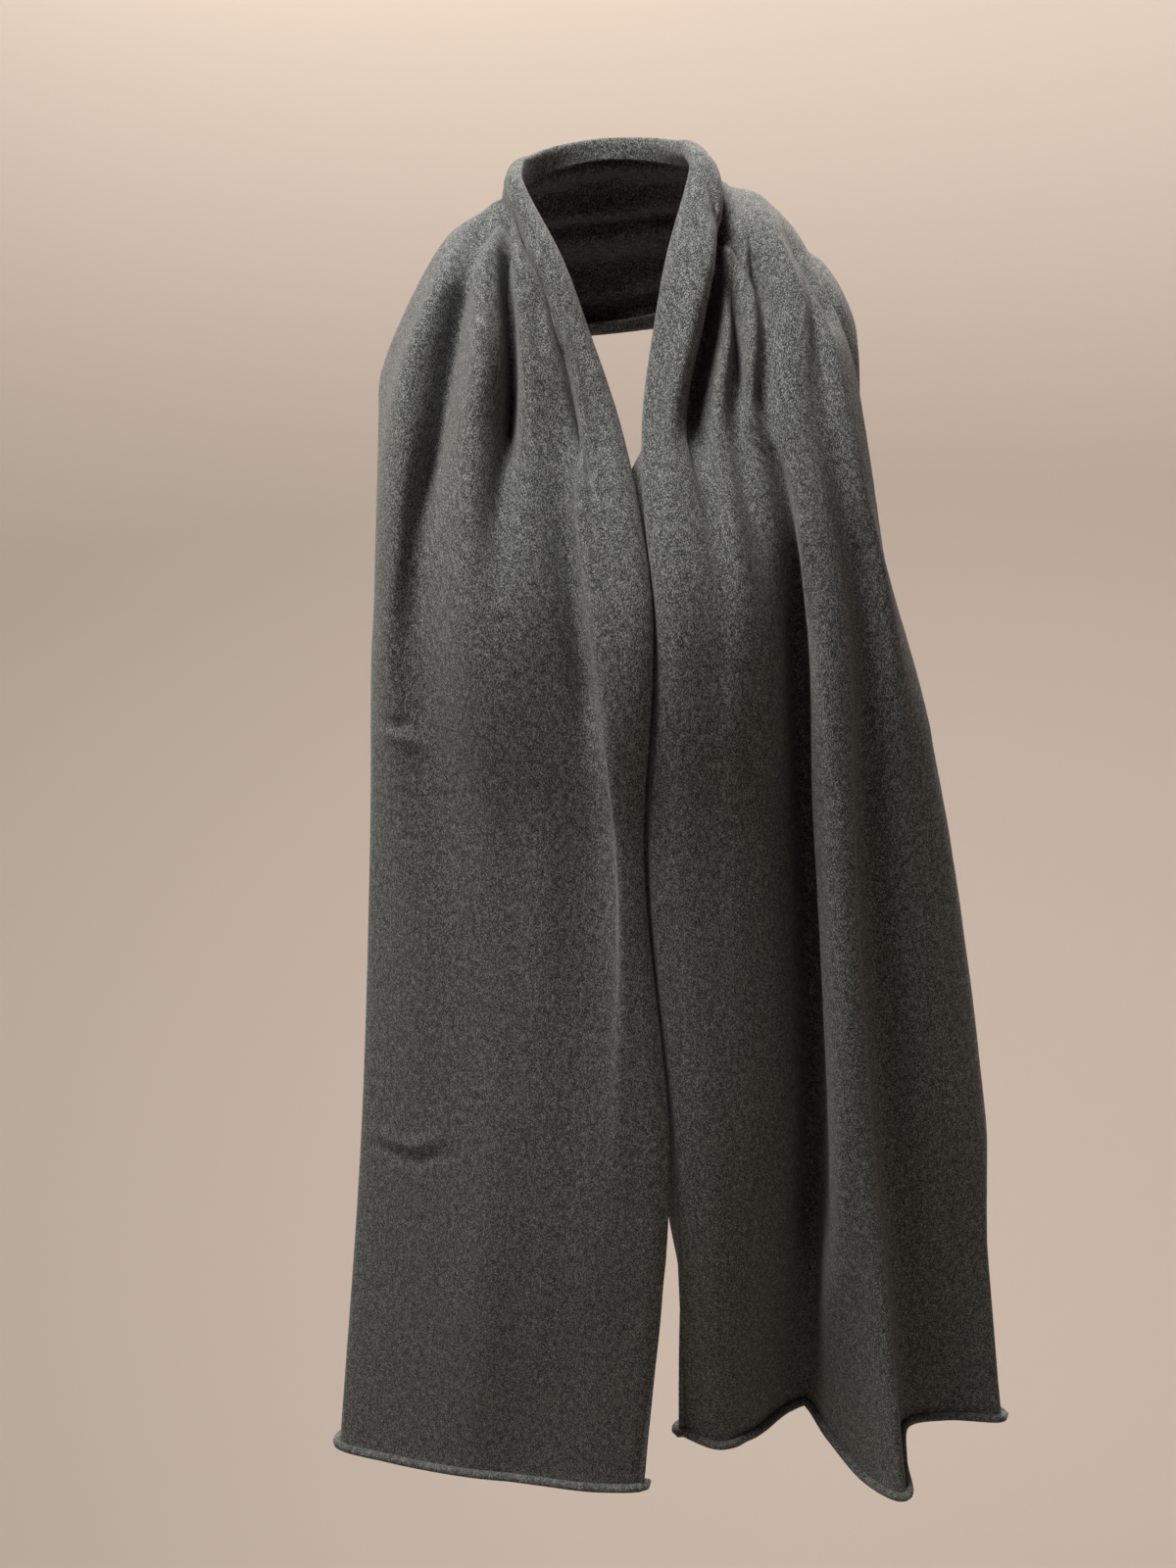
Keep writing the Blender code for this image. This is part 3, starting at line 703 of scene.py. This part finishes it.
def cloth_mesh(name, points, along, across):
    """One sheet on the grid, with a UV map in metres of cloth."""
    rows, columns = points.shape[:2]
    index = np.arange(rows * columns).reshape(rows, columns)
    corners_of_faces = [index[:-1, :-1], index[1:, :-1], index[1:, 1:], index[:-1, 1:]]
    quads = np.stack(corners_of_faces, axis=2).reshape(-1, 4)
    mesh = bpy.data.meshes.new(name)
    mesh.from_pydata((points.reshape(-1, 3) * MM).tolist(), [], quads.tolist())
    along_grid = np.repeat(along[:, None], columns, axis=1)
    places = np.stack([across - across.mean(axis=1, keepdims=True), along_grid], axis=2).reshape(-1, 2) * MM
    layer = mesh.uv_layers.new(name="cloth")
    corners = np.empty(len(mesh.loops), dtype=np.int32)
    mesh.loops.foreach_get("vertex_index", corners)
    layer.data.foreach_set("uv", places[corners].ravel())
    mesh.polygons.foreach_set("use_smooth", np.ones(len(mesh.polygons), dtype=bool))
    thing = bpy.data.objects.new(name, mesh)
    bpy.context.scene.collection.objects.link(thing)
    return thing


def face_outward(thing):
    """Turns all faces over if the probed one looks to the back."""
    faces = thing.data.polygons
    if faces[len(faces) - PROBE_FACES].normal.y > 0:
        thing.data.flip_normals()


scarf = cloth_mesh("scarf_jersey", cloth_grid, along_places, across_places)
face_outward(scarf)
wall = scarf.modifiers.new("thickness", "SOLIDIFY")
wall.thickness = CLOTH_THICKNESS * MM
wall.offset = 0
wall.use_rim = True
print("scarf faces before thickness:", len(scarf.data.polygons))

# %% [markdown]
# ## The jersey
#
# This is a fine wool jersey in a marled charcoal yarn, brushed after knitting. Marled yarn mixes
# dark and pale fibres, so the colour is never even: flecks about a millimetre long run along the
# cloth. Brushing raises a short nap, which scatters light at the edges and hides the stitches.

# %% Helpers for colours and nodes
def linear(hex_colour):
    """A linear colour from an sRGB hex value."""
    parts = [int(hex_colour[k : k + 2], 16) / 255 for k in (1, 3, 5)]
    return tuple(p / 12.92 if p <= 0.04045 else ((p + 0.055) / 1.055) ** 2.4 for p in parts) + (1.0,)


def add_node(tree, kind, settings=None, inputs=None):
    """Adds one node, sets its properties and its inputs, and links the inputs that are sockets."""
    node = tree.nodes.new(kind)
    for name, value in (settings or {}).items():
        setattr(node, name, value)
    for name, value in (inputs or {}).items():
        if isinstance(value, bpy.types.NodeSocket):
            tree.links.new(value, node.inputs[name])
        else:
            node.inputs[name].default_value = value
    return node


def new_material(name):
    """An empty material and its node tree."""
    material = bpy.data.materials.new(name)
    material.use_nodes = True
    material.node_tree.nodes.clear()
    return material, material.node_tree


print("a middle grey in linear light:", round(linear("#808080")[0], 3))

# %% Brushed marled jersey
# Single fibres of a marled yarn are finer than this. The flecks are drawn coarser, so that they show
# in a picture of the whole scarf.
FLECK_WIDTH_MM = 0.42
FLECK_LENGTH_MM = 0.9
CLOUD_MM = 3.0
CLOUD_SHARE = 0.2
DARK_YARN = "#202222"
MID_YARN = "#474a4a"
PALE_YARN = "#8f9291"
# Where the three colours lie on the scale of the noise.
DARK_STOP = 0.465
MID_STOP = 0.60
PALE_STOP = 0.745


def brushed_jersey():
    # Brushed wool jersey: no gloss, a pale halo where it turns away, and mixed fibres in every stitch.
    material, tree = new_material("brushed_marled_wool_jersey")
    uv = add_node(tree, "ShaderNodeUVMap", {"uv_map": "cloth"})
    place = add_node(tree, "ShaderNodeTexCoord")
    flecks_at = add_node(tree, "ShaderNodeMapping", {}, {
        "Vector": place.outputs["Object"],
        "Scale": (1 / (FLECK_WIDTH_MM * MM), 1 / (FLECK_WIDTH_MM * MM), 1 / (FLECK_LENGTH_MM * MM)),
    })
    # Clouds of darker and paler yarn are twice as long along the cloth as across it.
    clouds_at = add_node(tree, "ShaderNodeMapping", {}, {
        "Vector": uv.outputs["UV"],
        "Scale": (1 / (CLOUD_MM * MM), 0.5 / (CLOUD_MM * MM), 1),
    })
    flecks = add_node(tree, "ShaderNodeTexNoise", {}, {
        "Vector": flecks_at.outputs["Vector"], "Scale": 0.7, "Detail": 2.0, "Roughness": 0.7,
    })
    clouds = add_node(tree, "ShaderNodeTexNoise", {"noise_dimensions": "2D"}, {
        "Vector": clouds_at.outputs["Vector"], "Scale": 1.0, "Detail": 3.0, "Roughness": 0.55,
    })
    mixed = add_node(tree, "ShaderNodeMath", {"operation": "MULTIPLY_ADD"}, {
        0: clouds.outputs["Fac"], 1: CLOUD_SHARE, 2: flecks.outputs["Fac"],
    })
    colours = add_node(tree, "ShaderNodeValToRGB", {}, {"Fac": mixed.outputs[0]})
    ramp = colours.color_ramp
    ramp.elements[0].position = DARK_STOP
    ramp.elements[0].color = linear(DARK_YARN)
    ramp.elements[1].position = PALE_STOP
    ramp.elements[1].color = linear(PALE_YARN)
    middle = ramp.elements.new(MID_STOP)
    middle.color = linear(MID_YARN)
    nap = add_node(tree, "ShaderNodeTexNoise", {}, {
        "Vector": flecks_at.outputs["Vector"], "Scale": 1.1, "Detail": 3.0, "Roughness": 0.65,
    })
    bump = add_node(tree, "ShaderNodeBump", {}, {
        "Height": nap.outputs["Fac"], "Strength": 0.5, "Distance": 0.6 * MM,
    })
    shader = add_node(tree, "ShaderNodeBsdfPrincipled", {}, {
        "Base Color": colours.outputs["Color"],
        "Roughness": 0.94,
        "IOR": 1.45,
        "Specular IOR Level": 0.25,
        "Sheen Weight": 0.25,
        "Sheen Roughness": 0.55,
        "Sheen Tint": linear("#c2c2c0"),
        "Normal": bump.outputs["Normal"],
    })
    add_node(tree, "ShaderNodeOutputMaterial", {}, {"Surface": shader.outputs["BSDF"]})
    return material


jersey = brushed_jersey()
scarf.data.materials.append(jersey)
print("material:", jersey.name)

# %% [markdown]
# ## The nap
#
# Brushing pulls fibre ends out of the knit. They stand a millimetre or two off the cloth and soften
# its outline, so they are real geometry here: Geometry Nodes scatter short fibres over the outer face
# of the sheet, tilt each one its own way, and realise them into one plain mesh.

# %% Short fibres over the outer face
FIBRES_PER_SQUARE_METRE = 205000
FIBRE_LENGTH_MM = 1.7
NAP_SEED = 7
# Least and greatest stray from the cloth's own direction, and least and greatest length.
FIBRE_STRAY = ((-1.0, -1.0, -1.2), (1.0, 1.0, 0.8))
FIBRE_VARIETY = (0.5, 1.3)
# A wool fibre is about 0.02 mm across. It is drawn coarser, so that a picture of the whole scarf can
# still show it.
FIBRE_WIDTH_MM = 0.15


def loose_fibre():
    # Loose wool fibre: paler than the knit below, because light passes between the fibres.
    material, tree = new_material("loose_wool_fibre")
    shader = add_node(tree, "ShaderNodeBsdfPrincipled", {}, {
        "Base Color": linear("#595b5a"), "Roughness": 1.0, "Specular IOR Level": 0.1,
    })
    add_node(tree, "ShaderNodeOutputMaterial", {}, {"Surface": shader.outputs["BSDF"]})
    return material


def nap_nodes():
    """Points on the faces, a leaning three-cornered fibre on each, and all of it made real."""
    tree = bpy.data.node_groups.new("short_nap", "GeometryNodeTree")
    face = tree.interface
    face.new_socket("Geometry", in_out="INPUT", socket_type="NodeSocketGeometry")
    inputs = {"Density": "Float", "Length": "Float", "Width": "Float", "Seed": "Int", "Fibre": "Material"}
    for name, kind in inputs.items():
        face.new_socket(name, in_out="INPUT", socket_type="NodeSocket" + kind)
    face.new_socket("Geometry", in_out="OUTPUT", socket_type="NodeSocketGeometry")
    given = add_node(tree, "NodeGroupInput").outputs
    spots = add_node(tree, "GeometryNodeDistributePointsOnFaces", {"distribute_method": "RANDOM"}, {
        "Mesh": given["Geometry"], "Density": given["Density"], "Seed": given["Seed"],
    })
    stray = add_node(tree, "FunctionNodeRandomValue", {"data_type": "FLOAT_VECTOR"}, {
        "Min": FIBRE_STRAY[0], "Max": FIBRE_STRAY[1], "Seed": given["Seed"],
    })
    lean = add_node(tree, "ShaderNodeVectorMath", {"operation": "ADD"}, {
        0: spots.outputs["Normal"], 1: stray.outputs["Value"],
    })
    turn = add_node(tree, "FunctionNodeAlignRotationToVector", {"axis": "X"}, {
        "Vector": lean.outputs["Vector"],
    })
    fibre = add_node(tree, "GeometryNodeMeshCircle", {"fill_type": "NGON"}, {"Vertices": 3, "Radius": 0.6})
    size = add_node(tree, "ShaderNodeCombineXYZ", {}, {
        "X": given["Length"], "Y": given["Width"], "Z": 1.0,
    })
    # Inputs 2 and 3 are the least and the greatest value of the random number.
    variety = add_node(tree, "FunctionNodeRandomValue", {"data_type": "FLOAT"}, {
        2: FIBRE_VARIETY[0], 3: FIBRE_VARIETY[1], "Seed": given["Seed"],
    })
    scale = add_node(tree, "ShaderNodeVectorMath", {"operation": "SCALE"}, {
        "Vector": size.outputs["Vector"], "Scale": variety.outputs[1],
    })
    copies = add_node(tree, "GeometryNodeInstanceOnPoints", {}, {
        "Points": spots.outputs["Points"], "Instance": fibre.outputs["Mesh"],
        "Rotation": turn.outputs["Rotation"], "Scale": scale.outputs["Vector"],
    })
    solid = add_node(tree, "GeometryNodeRealizeInstances", {}, {
        "Geometry": copies.outputs["Instances"],
    })
    dressed = add_node(tree, "GeometryNodeSetMaterial", {}, {
        "Geometry": solid.outputs["Geometry"], "Material": given["Fibre"],
    })
    add_node(tree, "NodeGroupOutput", {}, {"Geometry": dressed.outputs["Geometry"]})
    return tree


def plain_mesh_of(thing, modifier, name):
    """The evaluated result as a plain mesh object, with the modifier and its carrier gone."""
    evaluated = thing.evaluated_get(bpy.context.evaluated_depsgraph_get())
    mesh = bpy.data.meshes.new_from_object(evaluated)
    thing.modifiers.remove(modifier)
    bpy.data.objects.remove(thing, do_unlink=True)
    plain = bpy.data.objects.new(name, mesh)
    bpy.context.scene.collection.objects.link(plain)
    return plain


def scatter_nap(sheet_points):
    """Fibres over the outer face of the sheet, as one plain mesh."""
    base = cloth_mesh("nap_base", sheet_points, along_places, across_places)
    face_outward(base)
    modifier = base.modifiers.new("nap", "NODES")
    modifier.node_group = nap_nodes()
    values = {
        "Density": float(FIBRES_PER_SQUARE_METRE),
        "Length": FIBRE_LENGTH_MM * MM,
        "Width": FIBRE_WIDTH_MM * MM,
        "Seed": NAP_SEED,
        "Fibre": loose_fibre(),
    }
    for item in modifier.node_group.interface.items_tree:
        if item.in_out == "INPUT" and item.name in values:
            modifier[item.identifier] = values[item.name]
    return plain_mesh_of(base, modifier, "scarf_nap")


sheet_outward = outward_normals(cloth_grid)
nap = scatter_nap(cloth_grid + sheet_outward * CLOTH_THICKNESS / 2)
print("nap fibres:", len(nap.data.polygons))

# %% [markdown]
# ## The studio
#
# The scarf hangs in a round room of one pale paint, whose floor turns up into the wall, so the
# picture has the same plain ground from every side. Shop light falls mostly from the ceiling, so one
# soft light hangs above and a little to the left: what faces up is bright, and what hangs straight
# down is dim. Two wide lights wash the wall and the floor behind, and a weak one fills the back.

# %% Round studio and lights
FLOOR_Z = -1.90
ROOM_RADIUS = 2.6
SWEEP_RADIUS = 1.1
ROOM_SIDES = 72
SWEEP_STEPS = 16
INNER_RING = 0.2
WALL_TOP = 3.2
ROOM_GLOW = 0.04
LIGHTS = (
    # name, place, aimed at, size in m, power in W, colour
    ("ceiling_light", (-0.50, -0.47, 1.47), (0.0, -0.1, -0.2), (0.65, 0.65), 63, "#fffaf3"),
    ("wall_wash", (0.3, 1.3, 1.7), (0.4, 2.6, -1.3), (3.0, 0.8), 46, "#eef1ff"),
    ("floor_wash", (0.3, 1.5, 0.9), (0.5, 1.9, -1.9), (2.6, 0.8), 92, "#fff0e2"),
    ("back_fill", (0.5, 2.0, 1.0), (0.0, 0.0, -0.3), (1.0, 1.0), 14, "#fff8f0"),
)


def pale_paint():
    # Matt wall paint, warm and even. A little glow stands for the light that all the walls pass on.
    material, tree = new_material("matt_wall_paint")
    shader = add_node(tree, "ShaderNodeBsdfPrincipled", {}, {
        "Base Color": linear("#8e8780"), "Roughness": 0.95,
        "Emission Color": linear("#efe6da"), "Emission Strength": 0.012,
    })
    add_node(tree, "ShaderNodeOutputMaterial", {}, {"Surface": shader.outputs["BSDF"]})
    return material


def make_room():
    """Floor and wall in one round sweep."""
    profile = [(INNER_RING, FLOOR_Z)]
    for step in range(SWEEP_STEPS + 1):
        turn = math.pi / 2 * step / SWEEP_STEPS
        out = ROOM_RADIUS - SWEEP_RADIUS * (1 - math.sin(turn))
        profile.append((out, FLOOR_Z + SWEEP_RADIUS * (1 - math.cos(turn))))
    profile.append((ROOM_RADIUS, WALL_TOP))
    points = []
    for out, z in profile:
        for side in range(ROOM_SIDES):
            turn = 2 * math.pi * side / ROOM_SIDES
            points.append((out * math.cos(turn), out * math.sin(turn), z))
    faces = [tuple(range(ROOM_SIDES))]
    for k in range(len(profile) - 1):
        for side in range(ROOM_SIDES):
            beside = (side + 1) % ROOM_SIDES
            low, high = k * ROOM_SIDES, (k + 1) * ROOM_SIDES
            faces.append((low + beside, low + side, high + side, high + beside))
    mesh = bpy.data.meshes.new("studio_sweep")
    mesh.from_pydata(points, [], faces)
    for polygon in mesh.polygons:
        polygon.use_smooth = True
    mesh.materials.append(pale_paint())
    thing = bpy.data.objects.new("studio_sweep", mesh)
    bpy.context.scene.collection.objects.link(thing)
    return thing


def area_light(name, place, target, size, power, colour):
    """A soft rectangular light at a place, turned to its target."""
    data = bpy.data.lights.new(name, "AREA")
    data.shape = "RECTANGLE"
    data.size, data.size_y = size
    data.energy = power
    data.color = linear(colour)[:3]
    light = bpy.data.objects.new(name, data)
    light.location = place
    light.rotation_euler = (Vector(target) - Vector(place)).to_track_quat("-Z", "Y").to_euler()
    bpy.context.scene.collection.objects.link(light)


sweep = make_room()
for row in LIGHTS:
    area_light(*row)
world = bpy.data.worlds.new("room")
world.use_nodes = True
background = world.node_tree.nodes["Background"]
background.inputs["Color"].default_value = linear("#efe8df")
background.inputs["Strength"].default_value = ROOM_GLOW
bpy.context.scene.world = world
bpy.context.scene.view_settings.view_transform = "Standard"

# %% [markdown]
# ## Attaching the pieces
#
# Both pieces ride on the frame's one body. The sheet stands for all five imported solids, and its cut is one
# rectangle, 0.38 m wide and 2 m long. The nap only dresses the sheet.

for piece in (scarf, nap):
    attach(piece, "root")
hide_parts("left_fall", "right_fall", "nape_band", "left_hem_roll", "right_hem_roll")
